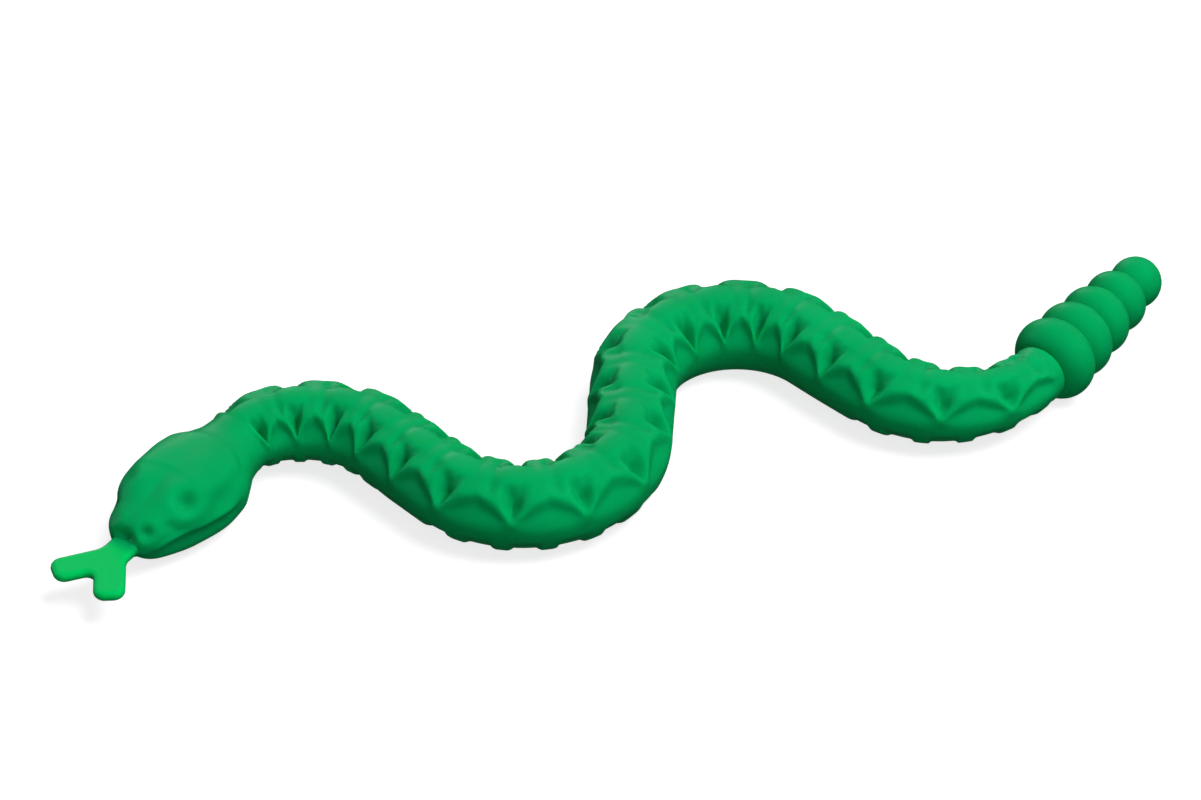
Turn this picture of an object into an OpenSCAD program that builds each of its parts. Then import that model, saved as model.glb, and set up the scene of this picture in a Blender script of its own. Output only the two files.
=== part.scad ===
// Small toy snake, moulded in one shot from one green plastic: a flat forked tongue, a broad
// head, an S-bent body with bands and V-shaped pockets in relief, and a collar and beads for a
// rattle. It lies on its belly at z = 0, its head towards -X and its rattle towards +X.
// Lengths are in millimetres and angles in degrees.

/* [Course of the body] */
// Radius of the centre line in the bends
bend_r = 4.9; // [4.6:0.1:5.5]
// Turn of each of the two middle bends
bend_turn = 133.5; // [125:0.5:136]
// Straight run between two bends
run = 4.1; // [3:0.1:6]
// Turn of the last bend, which ends at the rattle
tail_turn = 100.5; // [90:0.5:105]
// Turn of the first bend, which ends behind the head
neck_turn = 103; // [92:0.5:106]
// Radius of the tighter part of the first bend, close behind the head
nape_r = 3.6; // [3.2:0.1:4.8]
// Height of the centre line, where the two halves of the mould meet
centre_z = 2.04; // [2.04:0.02:2.1]

/* [Body] */
// Radius of the body at its thickest
body_r = 2.0; // [1.8:0.05:2.05]
// Depth below the centre line as a fraction of the radius, before the belly is cut flat
belly_depth = 1.07; // [1:0.01:1.1]
// Length of one scale along the middle of the body
scale_pitch = 2.54; // [2.3:0.02:2.8]
// Depth of the pocket below each scale
pocket_depth = 0.44; // [0.1:0.02:0.5]
// How far the rim of a pocket stands proud
rim_height = 0.14; // [0:0.02:0.2]
// Angle from the back's middle line to a scale's side edge, where its pocket begins
scale_angle = 22; // [16:1:30]
// Half the width of the band that crosses the back between two scales
band_half = 0.42; // [0.2:0.02:0.6]

/* [Head] */
// Length from the snout to the nape
head_l = 8.45; // [7.8:0.05:9]
// Width of the head at its broadest
head_w = 5.3; // [4.8:0.1:6]

/* [Tongue] */
// Thickness of the tongue
tongue_t = 0.5; // [0.4:0.05:0.8]
// Width of the stem and of each prong
tongue_w = 1.45; // [1.2:0.05:1.6]
// Length of the stem from the snout to the fork
stem_l = 0.95; // [0.8:0.05:1.6]
// Length of each prong from the fork
prong_l = 2.7; // [2.2:0.1:3]
// Angle between each prong and the stem
prong_angle = 37; // [33:1:42]

/* [Rattle] */
// Number of rings, the collar included
bead_count = 5; // [4:1:6]
// Distance from one ring to the next
bead_pitch = 1.81; // [1.7:0.01:1.9]
// Outer radius of the collar
collar_r = 2.04; // [1.9:0.02:2.04]
// How much smaller each ring is than the one before it
bead_step = 0.19; // [0.1:0.01:0.2]

/* [Hidden] */

green = [0.0, 0.60, 0.34];

// A leg of the course is [turn, radius, length]: an arc where radius > 0, or else a straight.
nape_turn = 42;
end_l = 40;
middle_legs = [[0, 0, run / 2], [-bend_turn, bend_r, 0], [0, 0, run]];
head_legs = concat(middle_legs,
    [[neck_turn - nape_turn, bend_r, 0], [nape_turn, nape_r, 0], [0, 0, end_l]]);
tail_legs = concat(middle_legs, [[tail_turn, bend_r, 0], [0, 0, end_l]]);

function leg_length(leg) = leg[1] > 0 ? abs(leg[0]) * PI / 180 * leg[1] : leg[2];
function course_length(legs, i = 0) =
    i >= len(legs) - 1 ? 0 : leg_length(legs[i]) + course_length(legs, i + 1);

// Place [x, y, heading] reached after a distance d along one leg from place p
function along(p, leg, d) =
    leg[1] > 0
        ? let (t = sign(leg[0]), a = p[2], b = a + t * d / leg[1] * 180 / PI, r = t * leg[1])
          [p[0] + r * (sin(b) - sin(a)), p[1] - r * (cos(b) - cos(a)), b]
        : [p[0] + d * cos(p[2]), p[1] + d * sin(p[2]), p[2]];

// Place at a distance u along a list of legs
function place(legs, u, p, i = 0) =
    let (l = leg_length(legs[i]))
    i == len(legs) - 1 || u <= l ? along(p, legs[i], u)
        : place(legs, u - l, along(p, legs[i], l), i + 1);

// The S is point-symmetric about the middle of the body, where u = 0. Its two halves are
// the same but for the bend behind the head. Negative u runs towards the head.
middle = [0, 0, bend_turn / 2];
nape_u = -course_length(head_legs);
rattle_u = course_length(tail_legs);
function course(u) =
    u < 0 ? let (p = place(head_legs, -u, middle)) [-p[0], -p[1], p[2]]
        : place(tail_legs, u, middle);

// Fraction of body_r from the nape (-1) through the middle (0) to the rattle (1)
girth = [[-1, 0.78], [-0.94, 0.835], [-0.84, 0.905], [-0.68, 0.965], [-0.3, 0.985],
    [0.15, 1.02], [0.53, 1.0], [0.77, 0.9], [1, 0.7], [1.1, 0.69]];
function body_radius(u) = body_r * lookup(u < 0 ? -u / nape_u : u / rattle_u, girth);

// Head stations: [distance from the snout / head_l, half width / half of head_w, top, bottom]
head_stations = [[0, 0.02, 0.1, 0.1], [0.015, 0.25, 0.46, 0.66], [0.065, 0.44, 0.84, 1.16],
    [0.19, 0.64, 1.27, 1.68], [0.367, 0.86, 1.68, 1.98], [0.568, 1, 1.86, 2.04],
    [0.7, 0.96, 1.76, 2.04], [0.805, 0.8, 1.62, 1.92], [0.911, 0.635, 1.52, 1.74],
    [1, 0.59, 1.56, 1.67]];
function head_value(t, k) = lookup(t, [for (s = head_stations) [s[0], s[k]]]);

function smooth(x, a, b) = let (t = min(max((x - a) / (b - a), 0), 1)) t * t * (3 - 2 * t);

// Position along the row of scales. A scale's middle is at a whole number. The scales grow a
// little in length from the neck to the rattle, and they are not quite evenly spaced.
middle_phase = 0.861;
scale_growth = 0.0004;
crest_phase = -0.19;
crest_u = 7.8;
crest_l = 5;
neck_phase = 0.11;
neck_u = [8, 15];
function uneven(u) =
    crest_phase * exp(-pow((u - crest_u) / crest_l, 2)) + neck_phase * smooth(-u, neck_u[0], neck_u[1]);
function scale_phase(u) = middle_phase + u / scale_pitch - scale_growth * u * u + uneven(u);
function even_place(phase) =
    let (slope = 1 / scale_pitch)
    (slope - sqrt(slope * slope - 4 * scale_growth * (phase - middle_phase))) / (2 * scale_growth);
function phase_place(phase) = even_place(phase - uneven(even_place(phase)));

// Height of the relief at angle a from the back's middle line. A band crosses the back between
// each two scales. It widens down the flank until it meets the next band, so that a pocket in
// the shape of a V stays open below each scale. The sides of a pocket end in a raised rim.
pocket_foot = 72;
edge = 0.14;
pocket_wall = 0.4;
fall_angle = 30;
rim_half = 0.3;
rim_start = [40, 60];
rim_end = [70, 94];
function relief(u, a) =
    let (ph = scale_phase(u), gap = scale_pitch / 2 - abs(ph - round(ph)) * scale_pitch,
        down = min(max((a - scale_angle) / (pocket_foot - scale_angle), 0), 1),
        inside = gap - band_half - (scale_pitch / 2 - band_half) * down,
        pocket = smooth(inside, -edge, pocket_wall) * smooth(a, scale_angle, scale_angle + fall_angle),
        rim = exp(-pow(inside / rim_half, 2)) * smooth(a, rim_start[0], rim_start[1])
            * (1 - smooth(a, rim_end[0], rim_end[1])))
    rim_height * rim - pocket_depth * pocket;

// Outline of the cross-section at u: sides points, the first on top, turning to the left.
// A head section is a superellipse, boxier below than above, and a body section is round,
// a little deeper below.
sides = 24;
top_power = 2 / 2.1;
bottom_power = 2 / 2.35;
nape_blend = [0.9, 1];
relief_start = [1, 1.09];
function power(x, e) = sign(x) * pow(abs(x), e);
function section(u) =
    let (t = (u - nape_u) / head_l + 1, r = body_radius(u), blend = smooth(t, nape_blend[0], nape_blend[1]),
        w = t < 1 ? head_value(t, 1) * head_w / 2 : r, top = t < 1 ? head_value(t, 2) : r,
        bottom = t < 1 ? head_value(t, 3) : r * belly_depth, fade = smooth(t, relief_start[0], relief_start[1]))
    [for (j = [0 : sides - 1])
        let (a = 360 * j / sides, e0 = cos(a) > 0 ? top_power : bottom_power,
            e = e0 + (1 - e0) * blend,
            k = 1 + (t < 1 ? 0 : fade * relief(u, a > 180 ? 360 - a : a) / body_r))
        [k * w * power(sin(a), e), k * (cos(a) > 0 ? top : bottom) * power(cos(a), e)]];

// The same outline in space, cut off flat where it would pass below the belly
function ring(u) =
    let (c = course(u))
    [for (q = section(u))
        [c[0] - q[0] * sin(c[2]), c[1] + q[0] * cos(c[2]), max(centre_z + q[1], 0)]];

// Rings: close together at the snout, and at the same six phases of every scale
head_steps = [0, 0.004, 0.015, 0.03, 0.06, 0.1, 0.14, 0.18, 0.24, 0.3, 0.36, 0.42, 0.48, 0.55,
    0.61, 0.66, 0.71, 0.75, 0.79, 0.83, 0.87, 0.92, 0.96];
scale_steps = [-0.49, -0.32, -0.15, 0, 0.15, 0.32];
tail_overlap = 1.3;
body_places = [for (k = [floor(scale_phase(nape_u)) : ceil(scale_phase(rattle_u))],
    q = scale_steps) phase_place(k + q)];
ring_places = concat([for (t = head_steps) nape_u - head_l * (1 - t)],
    [for (u = body_places) if (u > nape_u && u < rattle_u) u], [rattle_u + tail_overlap]);

module body_and_head() {
    count = len(ring_places);
    polyhedron(
        points = [for (u = ring_places, q = ring(u)) q],
        faces = concat(
            [[for (j = [sides - 1 : -1 : 0]) j]],
            [for (i = [0 : count - 2], j = [0 : sides - 1])
                let (n = (j + 1) % sides, a = i * sides, b = a + sides)
                each [[a + j, a + n, b + n], [a + j, b + n, b + j]]],
            [[for (j = [0 : sides - 1]) (count - 1) * sides + j]]));
}

// Moves children to a place on the course and turns their +X along the body
module at_course(u) {
    c = course(u);
    translate([c[0], c[1], 0]) rotate([0, 0, c[2]]) children();
}

snout_u = nape_u - head_l;
tongue_z = centre_z - 0.5;
tongue_root = 1.2;
corner_r = 0.45;

// A bar from the origin along +X, with rounded corners at its far end
module bar(l, w) {
    hull() {
        translate([0, -w / 2]) square([0.1, w]);
        for (y = [-1, 1])
            translate([l - corner_r, y * (w / 2 - corner_r)]) circle(corner_r, $fn = 32);
    }
}

module tongue() {
    at_course(snout_u) translate([0, 0, tongue_z]) rotate([0, 0, 180])
        linear_extrude(tongue_t) {
            translate([-tongue_root, 0]) bar(tongue_root + stem_l + tongue_w / 2, tongue_w);
            for (side = [-1, 1])
                translate([stem_l, 0]) rotate([0, 0, side * prong_angle]) bar(prong_l, tongue_w);
        }
}

// The collar and the beads are discs with round rims, wider than their spacing, so that a
// sharp groove stays between each two. The last bead is a ball.
collar_x = 1.88;
rim_r = 1.05;
last = bead_count - 1;
last_x = collar_x + last * bead_pitch;
last_r = collar_r - last * bead_step;
module rattle_outline() {
    for (i = [0 : last - 1]) {
        r = collar_r - i * bead_step;
        x = collar_x + i * bead_pitch;
        translate([r - rim_r, x]) intersection() {
            circle(rim_r, $fn = 36);
            translate([0, -rim_r]) square([rim_r, 2 * rim_r]);
        }
        translate([0, x - rim_r]) square([r - rim_r, 2 * rim_r]);
    }
    intersection() {
        translate([0, last_x - last_r]) square([last_r, 2 * last_r]);
        translate([0, last_x]) circle(last_r, $fn = 36);
    }
}
module rattle() {
    at_course(rattle_u) translate([0, 0, centre_z]) rotate([0, 90, 0])
        rotate_extrude($fn = 40) rattle_outline();
}

// The origin is midway between the tip of the left prong and the end of the rattle
rattle_end = course(rattle_u + last_x);
snout = course(snout_u);
prong_dir = snout[2] + 180 - prong_angle;
prong_tip_x = snout[0] + stem_l * cos(snout[2] + 180) + (prong_l - corner_r) * cos(prong_dir)
    - (tongue_w / 2 - corner_r) * abs(sin(prong_dir)) - corner_r;
shift_x = -(rattle_end[0] + last_r + prong_tip_x) / 2;

module snake() {
    color(green) translate([shift_x, 0, 0]) {
        body_and_head();
        tongue();
        rattle();
    }
}

snake();
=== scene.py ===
"""The looks of a small toy snake, moulded in one shot from one green plastic.

One closed skin replaces the CAD solid. It follows the same course and the same girth, and
it adds what the CAD model leaves plain: the relief's rounded rims, the belly's scutes, the
eyes, the nostrils, the mouth and the plates of the head. Lengths are in millimetres until
the skin becomes a Blender mesh, and angles are in degrees. The lights are in metres.
"""
import math

import bmesh
import bpy
import numpy as np
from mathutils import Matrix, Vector


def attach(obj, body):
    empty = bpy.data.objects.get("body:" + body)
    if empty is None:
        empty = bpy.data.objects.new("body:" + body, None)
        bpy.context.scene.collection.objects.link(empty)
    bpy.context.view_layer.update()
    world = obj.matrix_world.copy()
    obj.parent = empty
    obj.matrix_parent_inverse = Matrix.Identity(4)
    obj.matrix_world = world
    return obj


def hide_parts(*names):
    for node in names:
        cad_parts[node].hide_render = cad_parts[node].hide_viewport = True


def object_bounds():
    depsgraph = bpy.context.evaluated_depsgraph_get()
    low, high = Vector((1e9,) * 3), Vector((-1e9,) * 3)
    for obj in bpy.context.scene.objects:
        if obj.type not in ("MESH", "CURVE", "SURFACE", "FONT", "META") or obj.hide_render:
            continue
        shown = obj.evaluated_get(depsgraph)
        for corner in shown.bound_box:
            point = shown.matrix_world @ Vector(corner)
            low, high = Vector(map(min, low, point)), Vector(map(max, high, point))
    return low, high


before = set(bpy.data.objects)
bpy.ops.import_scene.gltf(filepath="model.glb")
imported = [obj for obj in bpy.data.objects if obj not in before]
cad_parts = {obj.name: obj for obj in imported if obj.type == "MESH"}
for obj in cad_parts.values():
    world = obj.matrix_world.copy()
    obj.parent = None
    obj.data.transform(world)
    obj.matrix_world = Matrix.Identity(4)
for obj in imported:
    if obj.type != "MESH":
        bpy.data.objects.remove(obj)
cad_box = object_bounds()
MM = 0.001

# Course of the body: an S about its middle, where u = 0. The head is at negative u.
BEND_R = 4.9
BEND_TURN = 133.5
RUN = 4.1
TAIL_TURN = 100.5
NECK_TURN = 103
NAPE_R = 3.6
NAPE_TURN = 42
END_L = 40
CENTRE_Z = 2.04
MIDDLE_LEGS = [(0, 0, RUN / 2), (-BEND_TURN, BEND_R, 0), (0, 0, RUN)]
HEAD_LEGS = MIDDLE_LEGS + [(NECK_TURN - NAPE_TURN, BEND_R, 0), (NAPE_TURN, NAPE_R, 0), (0, 0, END_L)]
TAIL_LEGS = MIDDLE_LEGS + [(TAIL_TURN, BEND_R, 0), (0, 0, END_L)]
COURSE_STEPS = 20000

# Girth: place along the body as a fraction of the way to the nape or the rattle, and radius
GIRTH = [(-1, 1.56), (-0.94, 1.67), (-0.84, 1.81), (-0.68, 1.93), (-0.3, 1.97),
         (0.15, 2.04), (0.53, 2.00), (0.77, 1.80), (1, 1.40), (1.1, 1.38)]
BELLY_DEPTH = 1.07
BELLY_END_L = 3

# Row of scales: its phase at u = 0, the length of one scale, how much longer the scales get
# towards the rattle, and how far the row is out of step near the crest and on the neck
MIDDLE_PHASE = 0.861
SCALE_PITCH = 2.54
SCALE_GROWTH = 0.0004
CREST_U = 7.8
CREST_L = 5
CREST_PHASE = -0.19
NECK_PHASE = 0.11
NECK_IN = (8, 15)

# A pair such as PAD_IN is a fade: that part of the relief comes in from the first value to
# the second one, and with PAD_OUT it goes out. Angles run down from the top of the back.

# Scales on the back: the angle of their side edges, which come closer towards the scale's ends
SCALE_ANGLE = 22
SCALE_TAPER = 0.6
DOME_H = 0.06
DOME_HALF = 0.95
DOME_OUT = (10, 34)

# Bands between the scales. They widen from the first angle, and meet at the second one.
BAND_HALF = 0.42
BAND_TOP = 8
BAND_FOOT = 72
PAD_H = 0.19
PAD_HALF = 1.0
PAD_IN = (20, 46)
PAD_OUT = (36, 60)

# Rims along the edges of the bands
RIM_H = 0.09
RIM_HALF = 0.34
RIM_IN = (48, 66)
RIM_OUT = (72, 94)

# Pockets below the scales. A wall runs from its top to its foot, as measured from the edge of
# the band, and it gets steeper further down. Part of the depth is reached at the side edge of
# the scale, and the rest further down.
POCKET_DEPTH = 0.66
WALL_TOP = -0.14
WALL_FOOT = 0.45
WALL_STEEPER = 0.22
WALL_STEEPER_IN = (34, 62)
EDGE_SHARE = 0.45
EDGE_IN = (-7, 13)
FLANK_SHARE = 0.55
FLANK_IN = (26, 56)
POCKET_OUT = (66, 77)

# Two fine ribs that run down into each pocket
RIB_H = 0.06
RIB_HALF = 0.15
RIB_PLACES = (-0.45, 0.12)
RIB_IN = (14, 24)
RIB_OUT = (30, 42)

# Hollow in the foot of each band, under an arch that drops towards the rims
HOLLOW_DEPTH = 0.17
HOLLOW_SIDE_IN = (0.02, 0.45)
HOLLOW_IN = (32, 54)
HOLLOW_OUT = (60, 92)
ARCH_DROP = 32
ARCH_POWER = 1.3

# Seams between a scale and the bands before and behind it. The front seam deepens down the flank.
SEAM_HALF = 0.22
FRONT_SEAM = 0.05
FRONT_SEAM_MORE = 0.08
FRONT_SEAM_MORE_IN = (8, 24)
REAR_SEAM = 0.03
SEAM_OUT = (30, 46)

# Scutes: teeth along the edges of the belly, on the outer side of bends and on all of the neck
SCUTE_PITCH = 1.7
NOTCH_DEPTH = 0.14
NOTCH_SIDE_IN = (0.26, 0.42)
SCUTE_IN = (106, 122)
SCUTE_OUT = (152, 164)
BEND_IN = (1, 7)
NECK_SCUTES = 0.8
NECK_SCUTES_IN = (15.5, 18)

# Head: distance from the snout, half width, height above and depth below the centre line
HEAD_L = 8.45
HEAD = [(0, 0.04, 0.1, 0.1), (0.12, 0.66, 0.46, 0.66), (0.55, 1.16, 0.84, 1.16), (1.6, 1.68, 1.27, 1.68),
        (3.1, 2.28, 1.68, 1.98), (4.8, 2.66, 1.86, 2.04), (5.9, 2.54, 1.76, 2.04), (6.8, 2.12, 1.62, 1.92),
        (7.7, 1.68, 1.52, 1.74), (8.45, 1.56, 1.56, 1.67)]
TOP_POWER = 2 / 2.1
BOTTOM_POWER = 2 / 2.35
ROUND_IN = (7.2, HEAD_L)

# A spot on the head is (distance from the snout, angle), and a dome or pit is (height, radius)
EYE = (2.76, 43)
EYE_DOME = (0.34, 1.05)
EYE_PIT = (0.6, 0.5)
FOLD_R = 1.3
FOLD_PIT = (0.08, 0.3)
FOLD_IN = (44, 62)
FOLD_OUT = (2.4, 3.4)
BROW = (3.8, 36)
BROW_DOME = (0.1, 0.55)
NOSTRIL = (0.6, 46)
NOSTRIL_DOME = (0.18, 0.62)
NOSTRIL_PIT = (0.44, 0.38)
PIT_POWER = 1.2
FAR_PIT = 0.3
CHEEK = (4.4, 68)
CHEEK_PIT = (0.2, 0.45)

# Crown plate: its height, its side edge, its rear edge and how that curves forward at the
# sides, and its front, which is a low step and then a long slope
CROWN_H = 0.13
CROWN_ANGLE = 50
CROWN_ANGLE_PER_MM = 24
CROWN_BACK = 6.75
CROWN_BACK_CURVE = 0.5
CROWN_BACK_ANGLE = 46
CROWN_EDGE_IN = (-0.45, 0.35)
STEP_SHARE = 0.35
STEP_SLANT = 0.006
STEP_IN = (3.6, 4.0)
SLOPE_SHARE = 0.65
SLOPE_IN = (3.4, 5.6)
# Dents along the middle of the head: place, half length, half width and depth
DENTS = [(5.1, 1.1, 0.8, 0.1), (2.4, 0.9, 0.55, 0.09)]

# Lips: the height of the line between them, which drops towards the snout, and the jaw below
LIP_Z = -0.08
LIP_DROP = 0.6
LIP_DROP_L = 2.6
LIP_RIM = (0.09, 0.18)
LIP_RIM_Z = 0.18
LIP_IN = (0.3, 1.2)
LIP_OUT = (4.4, 5.4)
JAW_DEPTH = 0.2
JAW_TOP_IN = (-0.08, 0.14)
JAW_FOOT_OUT = (0.35, 1.1)
JAW_IN = (0.15, 0.5)
JAW_OUT = (4.7, 5.8)
MOUTH_PIT = (0.5, 0.46)
MOUTH_Z = 0.3
MOUTH_STRETCH = 1.5

# Tongue
TONGUE_T = 0.5
TONGUE_Z = CENTRE_Z - 0.5
TONGUE_W = 1.45
TONGUE_ROOT = 1.2
TONGUE_EDGE = 0.24
STEM_L = 0.95
STEM_R = 0.9
PRONG_L = 2.7
PRONG_ANGLE = 37
PRONG_R = 0.55
FORK_R = 0.35

# Rattle: distance of each ring past the end of the body, and its radius. The last is a ball.
RINGS = [(1.88, 2.05), (3.67, 1.90), (5.46, 1.74), (7.29, 1.54), (9.13, 1.26)]
RING_RIM_R = 1.05
CORE_R = 0.95
# The body goes on a little past its end, and is rounded off there
END_R = 1.38
END_PAST = 0.5
END_ROUND = 0.4

# Grid of the skin, with closer rows at the snout and at the tip of the last ball
SIDES = 124
SIDE_SHIFT = 22
HEAD_STEP = 0.08
SNOUT_ROWS = (0, 0.15, 0.4, 0.8, 1.3)
BODY_STEP = 0.105
BODY_GAP = 0.1
RATTLE_STEP = 0.072
TIP_L = 0.3
TIP_ANGLES = (12, 26, 40, 54, 66, 78, 86)
CORNER_STEPS = 14
EDGE_ANGLES = (0, 22, 45, 68, 90)
SHARP_ANGLE = 68
FLAT_TOLERANCE = 0.004

# Greens of the body, which is a little cloudy, and of the thin tongue. The tongue's lighter green is
# painted light that shines through the thin plastic.
BODY_GREENS = [(0.0003, 0.27, 0.074, 1), (0.0004, 0.30, 0.085, 1)]
TONGUE_LIT_THROUGH_GREEN = (0.0004, 0.41, 0.085, 1)
TONGUE_GLOW_BLEND = 0.5

# Brightness of the surroundings above and below the horizon
SKY_ABOVE = 0.25
SKY_BELOW = 0.02
SKY_IN = (-0.1, 0.5)

FLOOR_HALF = 3000
FLOOR_GAP = 0.02
FLOOR_GREY = 0.36
FLOOR_GLOW = 0.76

# Camera: its direction from the snake, its distance, its lens, and where it looks, as seen
# from the middle of the body
AZIMUTH = -20.05
ELEVATION = 39
CAMERA_AWAY = 236.75
LENS = 149.9
AIM = (-0.108, 3.845, -2.08)


def smooth(x, low, high):
    """0 up to the low value, 1 from the high one, and a smooth step between them."""
    t = np.clip((x - low) / (high - low), 0, 1)
    return t * t * (3 - 2 * t)


def between(x, fade_in, fade_out):
    """1 from the end of the first fade to the start of the second, and 0 beyond them."""
    return smooth(x, *fade_in) * (1 - smooth(x, *fade_out))


def hump(distance, radius):
    """1 at distance 0, falling off smoothly to about a third at the radius."""
    return np.exp(-(distance / radius) ** 2)


def arched(distance, half_width):
    """1 at distance 0, falling off in an arch to 0 at the half width."""
    return np.clip(1 - (distance / half_width) ** 2, 0, 1)


def curve(x, table, column=1):
    """A smooth curve through a table's points that never overshoots them (monotone cubic)."""
    xs = np.array([row[0] for row in table], float)
    ys = np.array([row[column] for row in table], float)
    step = np.diff(xs)
    rise = np.diff(ys) / step
    slope = np.empty_like(ys)
    slope[0], slope[-1] = rise[0], rise[-1]
    for i in range(1, len(ys) - 1):
        a, b = rise[i - 1], rise[i]
        wa, wb = 2 * step[i] + step[i - 1], step[i] + 2 * step[i - 1]
        slope[i] = 0 if a * b <= 0 else (wa + wb) / (wa / a + wb / b)
    x = np.clip(x, xs[0], xs[-1])
    i = np.clip(np.searchsorted(xs, x, side="right") - 1, 0, len(step) - 1)
    t = (x - xs[i]) / step[i]
    return ((1 + 2 * t) * (1 - t) ** 2 * ys[i] + t * (1 - t) ** 2 * step[i] * slope[i]
            + t * t * (3 - 2 * t) * ys[i + 1] + t * t * (t - 1) * step[i] * slope[i + 1])


def half_course(legs):
    """Distances along one half of the S, with x, y and heading at each, and the last leg's start."""
    ends, headings = [0.0], [BEND_TURN / 2]
    for turn, radius, length in legs:
        ends.append(ends[-1] + (abs(math.radians(turn)) * radius if radius else length))
        headings.append(headings[-1] + turn)
    d = np.linspace(0, ends[-1], COURSE_STEPS + 1)
    heading = np.interp(d, ends, headings)
    way = np.radians((heading[1:] + heading[:-1]) / 2)
    x = np.concatenate([[0], np.cumsum(np.cos(way))]) * d[1]
    y = np.concatenate([[0], np.cumsum(np.sin(way))]) * d[1]
    return d, x, y, heading, ends[-2]


TO_HEAD = half_course(HEAD_LEGS)
TO_TAIL = half_course(TAIL_LEGS)
NAPE_U = -TO_HEAD[4]
RATTLE_U = TO_TAIL[4]
SNOUT_U = NAPE_U - HEAD_L
END_U = RATTLE_U + RINGS[-1][0] + RINGS[-1][1]


def course(u):
    """x, y and heading in degrees at each distance u from the middle of the body."""
    u = np.asarray(u, float)
    found = []
    for k in (1, 2, 3):
        sign = 1 if k == 3 else -1
        found.append(np.where(u < 0, sign * np.interp(-u, TO_HEAD[0], TO_HEAD[k]),
                              np.interp(u, TO_TAIL[0], TO_TAIL[k])))
    return found


# The CAD model's box says where the middle of the body lies
CAD_BALL = (9.12, 1.28)
SHIFT_X = cad_box[1][0] / MM - float(course(RATTLE_U + CAD_BALL[0])[0]) - CAD_BALL[1]


def rattle_radius(x):
    """Radius at a distance x past the end of the body: a rounded lip, then the rings."""
    lip = END_R * np.sqrt(arched(np.maximum(x - END_PAST, 0), END_ROUND))
    radius = np.maximum(lip, CORE_R * (x < RINGS[-1][0]))
    for place, ring in RINGS:
        rim = ring if ring == RINGS[-1][1] else RING_RIM_R
        inside = rim * rim - (x - place) ** 2
        radius = np.maximum(radius, np.where(inside > 0, ring - rim + np.sqrt(np.maximum(inside, 0)), 0))
    return radius


def outline(u, angle):
    """Lateral place and height of the plain skin, before any relief, about the centre line.
    Angles run from the top of the back, and are positive to the left of the way to the tail."""
    s = u - SNOUT_U
    t = np.where(u < 0, -u / NAPE_U, u / RATTLE_U)
    body = np.where(u > RATTLE_U + END_PAST, rattle_radius(u - RATTLE_U), curve(t, GIRTH))
    on_head = s < HEAD_L
    width, top, bottom = (np.where(on_head, curve(s, HEAD, k), body) for k in (1, 2, 3))
    depth = 1 + (BELLY_DEPTH - 1) * (1 - smooth(u, RATTLE_U - BELLY_END_L, RATTLE_U))
    bottom = np.where(on_head, bottom, body * depth)
    c, sn = np.cos(np.radians(angle)), np.sin(np.radians(angle))
    blend = smooth(s, *ROUND_IN)
    power = np.where(c > 0, TOP_POWER, BOTTOM_POWER)
    power = power + (1 - power) * blend
    lateral = width * np.sign(sn) * np.abs(sn) ** power
    height = np.where(c > 0, top, bottom) * np.sign(c) * np.abs(c) ** power
    return lateral, height


def in_space(u, lateral, height):
    """Points beside and above the centre line, in the shared frame."""
    x, y, heading = course(u)
    h = np.radians(heading)
    return np.stack([x + SHIFT_X - lateral * np.sin(h), y + lateral * np.cos(h), CENTRE_Z + height], -1)


def scale_phase(u):
    """Place in the row of scales, with the middle of a scale at each whole number."""
    uneven = CREST_PHASE * hump(u - CREST_U, CREST_L) + NECK_PHASE * smooth(-u, *NECK_IN)
    return MIDDLE_PHASE + u / SCALE_PITCH - SCALE_GROWTH * u * u + uneven


def outside_of_bend(u, angle):
    """1 on the outer flank of a bend, and 0 on the inner one and beside a straight run."""
    turn_per_mm = course(u + 0.5)[2] - course(u - 0.5)[2]
    return smooth(-turn_per_mm * np.sign(angle), *BEND_IN)


def notches(u, angle):
    """How far the skin drops between the scutes."""
    from_scute = np.abs(u / SCUTE_PITCH - np.round(u / SCUTE_PITCH)) * SCUTE_PITCH
    drop = NOTCH_DEPTH * smooth(from_scute, *NOTCH_SIDE_IN) * between(np.abs(angle), SCUTE_IN, SCUTE_OUT)
    return drop * np.maximum(outside_of_bend(u, angle), NECK_SCUTES * smooth(-u, *NECK_SCUTES_IN))


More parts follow.
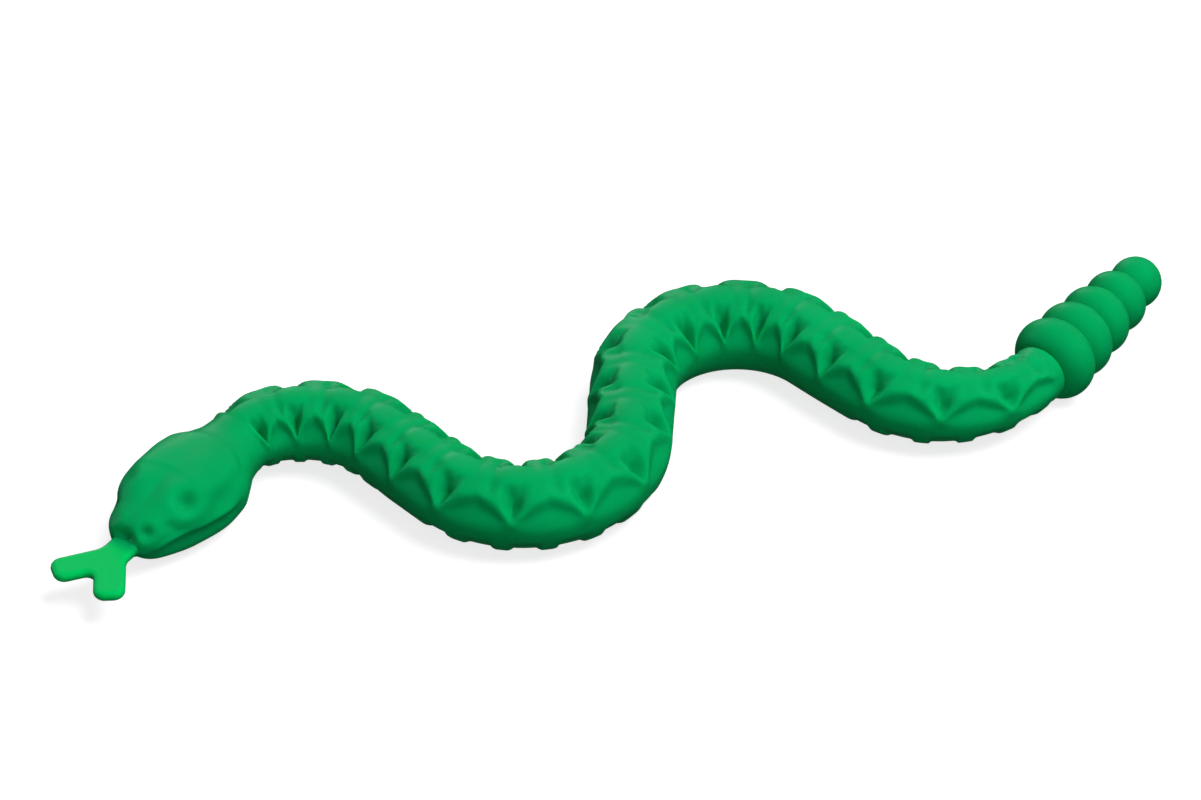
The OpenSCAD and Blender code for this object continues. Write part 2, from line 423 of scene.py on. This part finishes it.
def body_relief(u, angle):
    """Height of the scales, bands, pockets and scutes over the plain skin of the body.
    A scale lies on the back between each two bands. Each band widens down the flank, and
    its two edges are raised rims that meet the next bands' rims below a deep pocket."""
    a = np.abs(angle)
    phase = scale_phase(u)
    # Distance behind the middle of the nearest scale, and from the middle of the nearest band
    p = (phase - np.round(phase)) * SCALE_PITCH
    gap = SCALE_PITCH / 2 - np.abs(p)
    # Distance from the edge of the nearest band into the pocket
    widest = SCALE_PITCH / 2 - BAND_HALF
    inside = gap - BAND_HALF - widest * np.clip((a - BAND_TOP) / (BAND_FOOT - BAND_TOP), 0, 1)

    dome = DOME_H * arched(p, DOME_HALF) * (1 - smooth(a, *DOME_OUT))
    arch = a - ARCH_DROP * (2 * gap / SCALE_PITCH) ** ARCH_POWER
    pad = PAD_H * arched(gap, PAD_HALF) * smooth(a, *PAD_IN) * (1 - smooth(arch, *PAD_OUT))
    rim = RIM_H * hump(inside, RIM_HALF) * between(a, RIM_IN, RIM_OUT)
    rib = RIB_H * sum(hump(p - place, RIB_HALF) for place in RIB_PLACES) * between(a, RIB_IN, RIB_OUT)

    side_edge = SCALE_ANGLE * np.sqrt(np.clip(1 - SCALE_TAPER * p ** 2, 0, 1))
    fall = EDGE_SHARE * smooth(a - side_edge, *EDGE_IN) + FLANK_SHARE * smooth(a, *FLANK_IN)
    foot = WALL_FOOT - WALL_STEEPER * smooth(a, *WALL_STEEPER_IN)
    pocket = POCKET_DEPTH * smooth(inside, WALL_TOP, foot) * fall * (1 - smooth(a, *POCKET_OUT))
    hollow = smooth(-inside, *HOLLOW_SIDE_IN) * smooth(arch, *HOLLOW_IN) * (1 - smooth(a, *HOLLOW_OUT))
    front = hump(p + widest, SEAM_HALF) * (FRONT_SEAM + FRONT_SEAM_MORE * smooth(a, *FRONT_SEAM_MORE_IN))
    seam = (front + REAR_SEAM * hump(p - widest, SEAM_HALF)) * (1 - smooth(a, *SEAM_OUT))

    relief = dome + pad + rim - pocket + rib - HOLLOW_DEPTH * hollow - seam - notches(u, angle)
    return relief * between(u, (NAPE_U - 0.1, NAPE_U + 0.4), (RATTLE_U - 0.3, RATTLE_U + 0.1))


def bump(distance, shape, power=1):
    """A dome or a pit of the given (height, radius). A higher power makes it narrower."""
    return shape[0] * hump(distance, shape[1]) ** power


def head_relief(u, angle, lateral, height):
    """Height of the eyes, nostrils, mouth and plates over the plain skin of the head."""
    s = u - SNOUT_U
    a = np.abs(angle)
    side = np.abs(lateral)

    def distance(spot, stretch=1.0):
        """Distance from a spot on each side of the head. A stretch below 1 makes the spot longer."""
        x, z = outline(np.array(SNOUT_U + spot[0]), np.array(float(spot[1])))
        along = (s - spot[0]) * stretch
        return np.sqrt(along ** 2 + (side - abs(float(x))) ** 2 + (height - float(z)) ** 2)

    # Domed eyes with a pit, a fold below and before them, and a brow behind. The pits of the
    # eye and of the nostril are deeper on the snake's own left.
    pit = np.where(angle < 0, 1, FAR_PIT)
    eye = distance(EYE)
    relief = bump(eye, EYE_DOME) - pit * bump(eye, EYE_PIT, PIT_POWER)
    relief = relief - bump(eye - FOLD_R, FOLD_PIT) * smooth(a, *FOLD_IN) * (1 - smooth(s, *FOLD_OUT))
    relief = relief + bump(distance(BROW, stretch=0.7), BROW_DOME)
    nostril = distance(NOSTRIL)
    relief = relief + bump(nostril, NOSTRIL_DOME) - pit * bump(nostril, NOSTRIL_PIT, PIT_POWER)

    # The crown plate stands over the brows, the cheeks and the nape
    back = CROWN_BACK - s - CROWN_BACK_CURVE * (a / CROWN_BACK_ANGLE) ** 3
    edge = np.minimum((CROWN_ANGLE - a) / CROWN_ANGLE_PER_MM, back)
    front = STEP_SHARE * smooth(s + STEP_SLANT * a, *STEP_IN) + SLOPE_SHARE * smooth(s, *SLOPE_IN)
    relief = relief + CROWN_H * smooth(edge, *CROWN_EDGE_IN) * front
    for place, half_length, half_width, depth in DENTS:
        relief = relief - depth * hump(side, half_width) * hump(s - place, half_length)
    relief = relief - bump(distance(CHEEK, stretch=0.6), CHEEK_PIT)

    # The upper lip stands over the lower jaw, from the snout to the corner of the mouth
    lip = LIP_Z - LIP_DROP * (1 - s / LIP_DROP_L) ** 2 * (s < LIP_DROP_L)
    below = lip - height
    jaw = between(below, JAW_TOP_IN, JAW_FOOT_OUT) * between(s, JAW_IN, JAW_OUT)
    relief = relief - JAW_DEPTH * jaw + bump(below + LIP_RIM_Z, LIP_RIM) * between(s, LIP_IN, LIP_OUT)

    # The mouth opens over the tongue
    mouth = np.sqrt(s ** 2 + (lateral / MOUTH_STRETCH) ** 2 + (height - MOUTH_Z) ** 2)
    relief = relief - bump(mouth, MOUTH_PIT)
    return relief * (1 - smooth(s, HEAD_L - 0.5, HEAD_L + 0.3))


def normals(points):
    """Outward unit normals of a grid of points: rows along the body, columns around it."""
    along = np.gradient(points, axis=0)
    around = np.roll(points, -1, axis=1) - np.roll(points, 1, axis=1)
    n = np.cross(around, along)
    n /= np.maximum(np.linalg.norm(n, axis=2, keepdims=True), 1e-9)
    outward = points - points.mean(axis=1, keepdims=True)
    return n * np.sign((n * outward).sum())


def skin_points():
    """The skin as a grid of points, from the snout to the last bead."""
    near_snout = HEAD_STEP * np.array(SNOUT_ROWS)
    head = np.arange(2 * HEAD_STEP, HEAD_L, HEAD_STEP)
    body = np.arange(NAPE_U, RATTLE_U - BODY_GAP, BODY_STEP)
    rattle = np.arange(RATTLE_U, END_U - TIP_L, RATTLE_STEP)
    tip = END_U - TIP_L * (1 - np.sin(np.radians(TIP_ANGLES)))
    u = np.concatenate([SNOUT_U + near_snout, SNOUT_U + head, body, rattle, tip])[:, None]
    # Sides lie closer together on the back and flanks than on the belly
    turn = np.arange(SIDES) / SIDES * 2 - 1
    angle = (180 * turn - SIDE_SHIFT * np.sin(np.pi * turn))[None, :]
    u, angle = np.broadcast_arrays(u, angle)
    lateral, height = outline(u, angle)
    plain = in_space(u, lateral, height)
    relief = np.where(u < NAPE_U, head_relief(u, angle, lateral, height), body_relief(u, angle))
    points = plain + normals(plain) * relief[..., None]
    # The belly is flat where it meets what the snake lies on
    points[..., 2] = np.maximum(points[..., 2], 0)
    return points


def grid_mesh(name, points):
    """A closed mesh from a grid of points, with a pole at each end."""
    rows, sides = points.shape[:2]
    poles = [points[0].mean(axis=0), points[-1].mean(axis=0)]
    verts = np.concatenate([points.reshape(-1, 3), poles]) * MM
    first, last = rows * sides, rows * sides + 1
    faces = []
    for i in range(rows - 1):
        for j in range(sides):
            n = (j + 1) % sides
            faces.append((i * sides + j, i * sides + n, (i + 1) * sides + n, (i + 1) * sides + j))
    end = (rows - 1) * sides
    for j in range(sides):
        n = (j + 1) % sides
        faces.append((first, n, j))
        faces.append((last, end + j, end + n))
    mesh = bpy.data.meshes.new(name)
    mesh.from_pydata(verts.tolist(), [], faces)
    return mesh


def rounded(corners):
    """A closed outline from (x, y, radius) corners, each replaced by an arc."""
    line = []
    count = len(corners)
    for i, (x, y, radius) in enumerate(corners):
        here = np.array([x, y])
        before = np.array(corners[i - 1][:2]) - here
        after = np.array(corners[(i + 1) % count][:2]) - here
        before, after = before / np.linalg.norm(before), after / np.linalg.norm(after)
        half = math.acos(float(np.clip(before @ after, -1, 1))) / 2
        if radius == 0:
            line.append(here)
            continue
        start = here + before * radius / math.tan(half)
        end = here + after * radius / math.tan(half)
        middle = (before + after) / np.linalg.norm(before + after)
        centre = here + middle * radius / math.sin(half)
        first = math.atan2(*(start - centre)[::-1])
        turn = (math.atan2(*(end - centre)[::-1]) - first + math.pi) % (2 * math.pi) - math.pi
        for k in range(CORNER_STEPS + 1):
            angle = first + turn * k / CORNER_STEPS
            line.append(centre + radius * np.array([math.cos(angle), math.sin(angle)]))
    return np.array(line)


def way_out():
    """x and y of the snout, and the cosine and sine of the way out of the mouth."""
    x, y, heading = (float(v) for v in course(SNOUT_U))
    h = math.radians(heading + 180)
    return x + SHIFT_X, y, math.cos(h), math.sin(h)


def tongue_outline():
    """The forked tongue seen from above, +x out of the mouth. It starts inside the head."""
    half = TONGUE_W / 2
    c, s = math.cos(math.radians(PRONG_ANGLE)), math.sin(math.radians(PRONG_ANGLE))

    def prong(x, y):
        return STEM_L + x * c - y * s, x * s + y * c

    elbow = STEM_L - (half - half * c) / s
    side = [(-TONGUE_ROOT, half, 0), (elbow, half, STEM_R), (*prong(PRONG_L, half), PRONG_R),
            (*prong(PRONG_L, -half), PRONG_R)]
    other = [(x, -y, r) for x, y, r in reversed(side)]
    return rounded(side + [(STEM_L + half / s, 0, FORK_R)] + other)


def tongue_mesh():
    """The tongue as a flat plate with rounded edges."""
    line = tongue_outline()
    ahead = np.roll(line, -1, axis=0) - np.roll(line, 1, axis=0)
    ahead /= np.linalg.norm(ahead, axis=1, keepdims=True)
    inward = np.stack([ahead[:, 1], -ahead[:, 0]], -1)
    if (inward * (line - line.mean(axis=0))).sum() > 0:
        inward = -inward
    # Each layer is the outline, moved inward, at a height
    layers = []
    for degrees in EDGE_ANGLES:
        t = math.radians(degrees)
        layers.append((TONGUE_EDGE * (1 - math.sin(t)), TONGUE_Z + TONGUE_EDGE * (1 - math.cos(t))))
    layers += [(inset, 2 * TONGUE_Z + TONGUE_T - z) for inset, z in reversed(layers)]
    x, y, c, s = way_out()
    bm = bmesh.new()
    rows = []
    for inset, z in layers:
        ring = line + inward * inset
        rows.append([bm.verts.new(((x + px * c - py * s) * MM, (y + px * s + py * c) * MM, z * MM))
                     for px, py in ring])
    for low, high in zip(rows, rows[1:]):
        for j in range(len(low)):
            n = (j + 1) % len(low)
            bm.faces.new((low[j], low[n], high[n], high[j]))
    caps = [bm.faces.new(rows[0]), bm.faces.new(rows[-1])]
    bmesh.ops.triangulate(bm, faces=caps, ngon_method="BEAUTY")
    bmesh.ops.recalc_face_normals(bm, faces=bm.faces)
    mesh = bpy.data.meshes.new("tongue")
    bm.to_mesh(mesh)
    bm.free()
    return mesh


def make_snake():
    """The whole moulding: the skin and the tongue, joined into one closed mesh."""
    snake = bpy.data.objects.new("snake_skin", grid_mesh("snake_skin", skin_points()))
    tongue = bpy.data.objects.new("tongue", tongue_mesh())
    for piece in (snake, tongue):
        bpy.context.collection.objects.link(piece)
        mesh = bmesh.new()
        mesh.from_mesh(piece.data)
        bmesh.ops.recalc_face_normals(mesh, faces=mesh.faces)
        mesh.to_mesh(piece.data)
        mesh.free()
    union = snake.modifiers.new("tongue", "BOOLEAN")
    union.operation = "UNION"
    union.solver = "MANIFOLD"
    union.object = tongue
    joined = bpy.data.meshes.new_from_object(snake.evaluated_get(bpy.context.evaluated_depsgraph_get()))
    snake.modifiers.clear()
    snake.data = joined
    bpy.data.objects.remove(tongue)
    joined.set_sharp_from_angle(angle=math.radians(SHARP_ANGLE))
    # The tongue's two flat sides are shaded flat, and all the rest is smooth
    flats = [TONGUE_Z * MM, (TONGUE_Z + TONGUE_T) * MM]
    for face in joined.polygons:
        heights = [joined.vertices[i].co.z for i in face.vertices]
        nearest = min(max(abs(z - flat) for z in heights) for flat in flats)
        face.use_smooth = nearest >= FLAT_TOLERANCE * MM
    return snake


def green_plastic():
    """Semi-gloss translucent green plastic, a little mottled, with a fine moulded surface. The tongue's
    lighter green is painted light that shines through it.
    """
    material = bpy.data.materials.new("green_plastic")
    material.use_nodes = True
    nodes, links = material.node_tree.nodes, material.node_tree.links
    shader = nodes["Principled BSDF"]
    place = nodes.new("ShaderNodeTexCoord")

    def noise(scale, detail):
        node = nodes.new("ShaderNodeTexNoise")
        node.inputs["Scale"].default_value = scale
        node.inputs["Detail"].default_value = detail
        links.new(place.outputs["Object"], node.inputs["Vector"])
        return node.outputs["Fac"]

    def ranged(source, start, end, start_value, end_value):
        """Goes from the start's value to the end's as the source goes from start to end."""
        node = nodes.new("ShaderNodeMapRange")
        node.inputs["From Min"].default_value = start
        node.inputs["From Max"].default_value = end
        node.inputs["To Min"].default_value = start_value
        node.inputs["To Max"].default_value = end_value
        links.new(source, node.inputs["Value"])
        return node.outputs["Result"]

    def mixed(factor, a, b):
        """A colour between a and b. Each of them is a tuple or another node's colour."""
        node = nodes.new("ShaderNodeMix")
        node.data_type = "RGBA"
        links.new(factor, node.inputs["Factor"])
        for socket, value in ((node.inputs[6], a), (node.inputs[7], b)):
            if isinstance(value, tuple):
                socket.default_value = value
            else:
                links.new(value, socket)
        return node.outputs[2]

    # The pigment is slightly cloudy. Past the snout the green turns lighter, which is painted light
    # shining through the thin tongue.
    cloud = ranged(noise(scale=170, detail=2), 0.35, 0.65, 0, 1)
    body = mixed(cloud, *BODY_GREENS)
    x, y, c, s = way_out()
    out = nodes.new("ShaderNodeVectorMath")
    out.operation = "DOT_PRODUCT"
    out.inputs[1].default_value = (c, s, 0)
    links.new(place.outputs["Object"], out.inputs[0])
    snout = (x * c + y * s) * MM
    painted_tongue_glow = ranged(out.outputs["Value"], snout, snout + TONGUE_GLOW_BLEND * MM, 0, 1)
    links.new(mixed(painted_tongue_glow, body, TONGUE_LIT_THROUGH_GREEN), shader.inputs["Base Color"])

    roughness = ranged(noise(scale=420, detail=3), 0.3, 0.7, 0.36, 0.47)
    links.new(roughness, shader.inputs["Roughness"])
    shader.inputs["IOR"].default_value = 1.5
    shader.inputs["Specular IOR Level"].default_value = 0.33
    shader.inputs["Specular Tint"].default_value = (0.03, 0.9, 0.85, 1)
    shader.inputs["Subsurface Weight"].default_value = 0.6
    shader.inputs["Subsurface Radius"].default_value = (0.25, 1.0, 0.5)
    shader.inputs["Subsurface Scale"].default_value = 0.7 * MM

    grain = nodes.new("ShaderNodeBump")
    grain.inputs["Strength"].default_value = 0.25
    grain.inputs["Distance"].default_value = 0.02 * MM
    links.new(noise(scale=2600, detail=4), grain.inputs["Height"])
    links.new(grain.outputs["Normal"], shader.inputs["Normal"])
    return material


def make_floor():
    """A wide pale floor that catches the shadow. It doesn't light the snake or mirror in it."""
    mesh = bpy.data.meshes.new("floor")
    size = FLOOR_HALF * MM
    corners = [(-size, -size, 0), (size, -size, 0), (size, size, 0), (-size, size, 0)]
    mesh.from_pydata(corners, [], [(0, 1, 2, 3)])
    floor = bpy.data.objects.new("floor", mesh)
    floor.location.z = -FLOOR_GAP * MM
    bpy.context.collection.objects.link(floor)
    material = bpy.data.materials.new("floor")
    material.use_nodes = True
    shader = material.node_tree.nodes["Principled BSDF"]
    shader.inputs["Base Color"].default_value = (FLOOR_GREY, FLOOR_GREY, FLOOR_GREY, 1)
    shader.inputs["Emission Color"].default_value = (1, 1, 1, 1)
    shader.inputs["Emission Strength"].default_value = FLOOR_GLOW
    shader.inputs["Roughness"].default_value = 0.9
    shader.inputs["Specular IOR Level"].default_value = 0.1
    mesh.materials.append(material)
    floor.visible_diffuse = floor.visible_glossy = False


def area_light(name, place, size, watts, glossy):
    """A round light that faces the origin. Only a glossy one shows in reflections."""
    light = bpy.data.lights.new(name, "AREA")
    light.shape = "DISK"
    light.size = size
    light.energy = watts
    lamp = bpy.data.objects.new(name, light)
    lamp.location = place
    lamp.visible_glossy = glossy
    lamp.rotation_euler = (-Vector(place)).to_track_quat("-Z", "Y").to_euler()
    bpy.context.collection.objects.link(lamp)


def make_studio():
    """Dim surroundings and broad soft lights. The key light is above, a little in front and to
    the right, the fill light is low in front, and two weak ones put a gloss on the far edges."""
    world = bpy.data.worlds.new("studio")
    bpy.context.scene.world = world
    world.use_nodes = True
    nodes, links = world.node_tree.nodes, world.node_tree.links
    background = nodes["Background"]
    background.inputs["Strength"].default_value = 1
    way = nodes.new("ShaderNodeTexCoord")
    split = nodes.new("ShaderNodeSeparateXYZ")
    ramp = nodes.new("ShaderNodeMapRange")
    ramp.interpolation_type = "SMOOTHSTEP"
    ramp.inputs["From Min"].default_value = SKY_IN[0]
    ramp.inputs["From Max"].default_value = SKY_IN[1]
    ramp.inputs["To Min"].default_value = SKY_BELOW
    ramp.inputs["To Max"].default_value = SKY_ABOVE
    links.new(way.outputs["Generated"], split.inputs["Vector"])
    links.new(split.outputs["Z"], ramp.inputs["Value"])
    links.new(ramp.outputs["Result"], background.inputs["Color"])
    area_light("key", (0.12, -0.07, 0.30), size=0.24, watts=1.45, glossy=False)
    area_light("back", (0.04, 0.36, 0.10), size=0.16, watts=0.11, glossy=True)
    area_light("left", (-0.28, 0.18, 0.06), size=0.20, watts=0.12, glossy=True)
    area_light("fill", (-0.06, -0.32, 0.02), size=0.30, watts=0.62, glossy=False)
    bpy.context.scene.view_settings.view_transform = "Standard"


def make_camera():
    """Looks down from the front, a little from the left."""
    azimuth, elevation = math.radians(AZIMUTH), math.radians(ELEVATION)
    back = Vector((math.sin(azimuth) * math.cos(elevation), -math.cos(azimuth) * math.cos(elevation),
                   math.sin(elevation)))
    target = Vector((SHIFT_X + AIM[0], AIM[1], CENTRE_Z + AIM[2])) * MM
    camera = bpy.data.objects.new("camera", bpy.data.cameras.new("camera"))
    camera.location = target + back * CAMERA_AWAY * MM
    camera.rotation_euler = back.to_track_quat("Z", "Y").to_euler()
    camera.data.lens = LENS
    camera.data.clip_start = 0.01
    bpy.context.collection.objects.link(camera)
    bpy.context.scene.camera = camera


make_camera()
snake = make_snake()
snake.data.materials.clear()
snake.data.materials.append(green_plastic())
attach(snake, "root")
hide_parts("snake")
make_floor()
make_studio()
